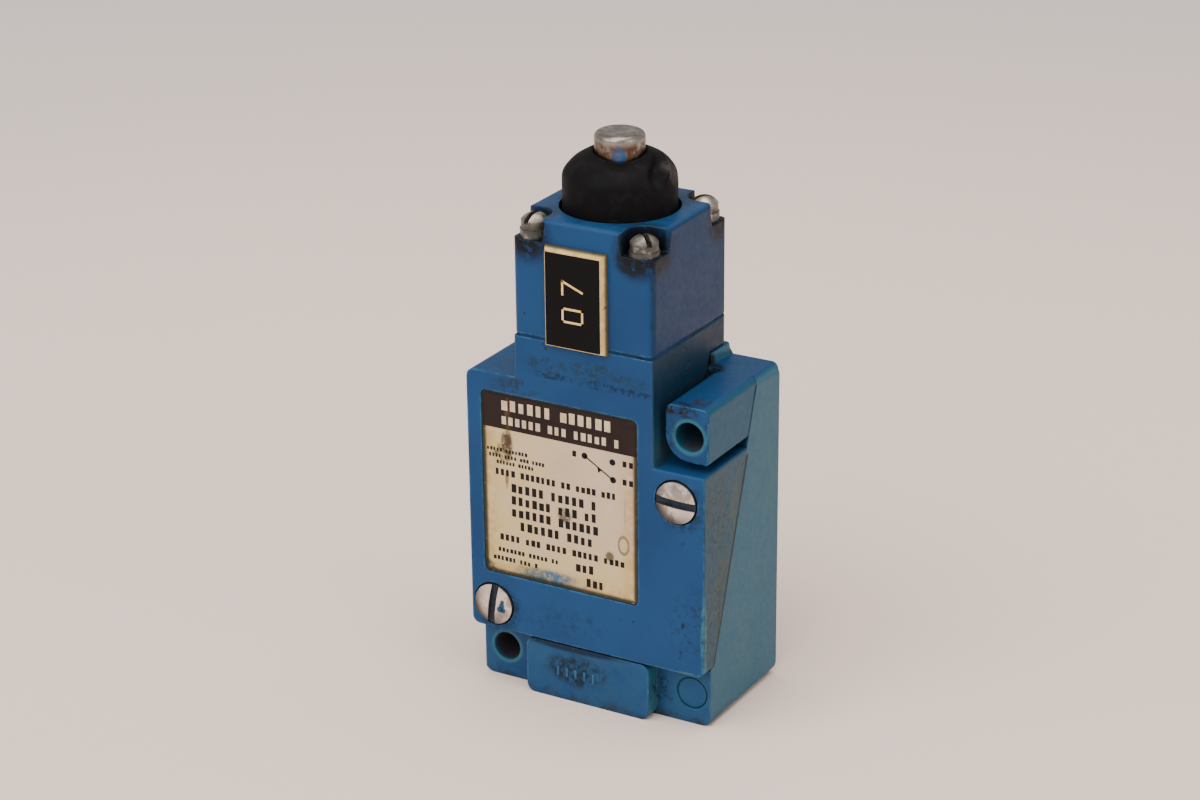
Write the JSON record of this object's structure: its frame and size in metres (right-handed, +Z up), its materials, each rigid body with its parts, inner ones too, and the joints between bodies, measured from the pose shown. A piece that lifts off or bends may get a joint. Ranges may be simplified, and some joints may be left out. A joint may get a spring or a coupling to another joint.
{
  "type": "limit switch",
  "caption": "Compact plug-in limit switch with a slanted two-part housing, square head, rubber boot and top plunger.",
  "frame": {"origin": "centre of the bounding box in X and Y, on the underside of the base", "axes": "+Z up along the plunger, -Y out of the labelled front, +Y into the mounting surface, +X to the side of the upper mounting hole"},
  "size_m": [0.0446, 0.0276, 0.0973],
  "materials": {
    "base_paint": "worn semi-gloss enamel",
    "body_paint": "worn semi-gloss enamel",
    "phenolic": "moulded",
    "black_plastic": "moulded",
    "red_plastic": "moulded",
    "brass": "formed",
    "bronze": "sintered",
    "copper": "formed",
    "screw_steel": "plated, worn",
    "green_steel": "dyed plating",
    "plunger_steel": "worn, stained",
    "spring_steel": "drawn wire",
    "silver_contact": "silver",
    "gasket_rubber": "moulded",
    "boot_rubber": "moulded, dusty",
    "label_foil": "printed, yellowed",
    "tag_gold": "engraving laminate",
    "tag_black": "engraving laminate"
  },
  "bodies": {
    "base": {"base_housing": "base_paint", "base_terminal_block": "phenolic", "terminal_block_screws": "screw_steel", "socket_contacts": "brass", "terminal_clamps": "screw_steel", "terminal_screws": "screw_steel", "ground_screw": "green_steel", "ground_cup_washer": "brass"},
    "plunger_group": {"plunger": "plunger_steel", "plunger_collar": "screw_steel", "pin_retaining_clip": "screw_steel", "overtravel_spring": "spring_steel"},
    "pin_group": {"transfer_pin": "plunger_steel"},
    "button_group": {"switch_button": "red_plastic"},
    "blade_group": {"snap_blade": "copper", "moving_contact": "silver_contact"},
    "upper_screw_group": {"captive_screw_upper": "screw_steel", "captive_ring_upper": "screw_steel"},
    "lower_screw_group": {"captive_screw_lower": "screw_steel", "captive_ring_lower": "screw_steel"},
    "switch_unit": {"switch_body": "body_paint", "joint_gasket": "gasket_rubber", "rating_label": "label_foil", "captive_screw_washers": "gasket_rubber", "plug_carrier": "phenolic", "plug_carrier_screws": "screw_steel", "plug_blades": "brass", "jumper_links": "copper", "basic_switch_case": "black_plastic", "basic_switch_cover": "black_plastic", "basic_switch_screws": "screw_steel", "common_terminal": "brass", "normally_open_terminal": "brass", "normally_closed_terminal": "brass", "pin_guide_bushing": "bronze", "pin_seal_ring": "gasket_rubber", "spring_seat_washer": "screw_steel", "return_spring": "spring_steel", "plunger_bushing": "bronze", "head_housing": "body_paint", "head_gasket": "gasket_rubber", "head_screws": "screw_steel", "head_screw_washers": "screw_steel", "tag_core": "tag_gold", "tag_face": "tag_black", "boot": "boot_rubber", "boot_retaining_ring": "screw_steel"}
  },
  "joints": [
    {"name": "unit_unplug", "type": "slide", "parent": "base", "child": "switch_unit", "axis": [0, -1, 0], "range_m": [0, 0.03]},
    {"name": "plunger_press", "type": "slide", "parent": "switch_unit", "child": "plunger_group", "axis": [0, 0, -1], "range_m": [0, 0.0055], "stiffness_N_per_m": 2000, "springref_m": -0.004, "deforming": ["boot", "return_spring", "overtravel_spring"]},
    {"name": "pin_slide", "type": "slide", "parent": "switch_unit", "child": "pin_group", "axis": [0, 0, -1], "range_m": [0, 0.0015]},
    {"name": "button_slide", "type": "slide", "parent": "switch_unit", "child": "button_group", "axis": [0, 0, -1], "range_m": [0, 0.0012]},
    {"name": "blade_turn", "type": "hinge", "parent": "switch_unit", "child": "blade_group", "pos_m": [-0.0105, 0.00025, 0.0415], "axis": [0, 1, 0], "range_deg": [0, 5]},
    {"name": "upper_screw_turn", "type": "hinge", "parent": "switch_unit", "child": "upper_screw_group", "pos_m": [0.01705, -0.01235, 0.04095], "axis": [0, 1, 0], "continuous": true},
    {"name": "lower_screw_turn", "type": "hinge", "parent": "switch_unit", "child": "lower_screw_group", "pos_m": [-0.01795, -0.01235, 0.01485], "axis": [0, 1, 0], "continuous": true}
  ],
  "couplings": [
    {"joint": "pin_slide", "follows": "plunger_press", "ratio": 0.2727},
    {"joint": "button_slide", "follows": "plunger_press", "ratio": 0.21816},
    {"joint": "blade_turn", "follows": "plunger_press", "rad_per_m": 15.865}
  ]
}
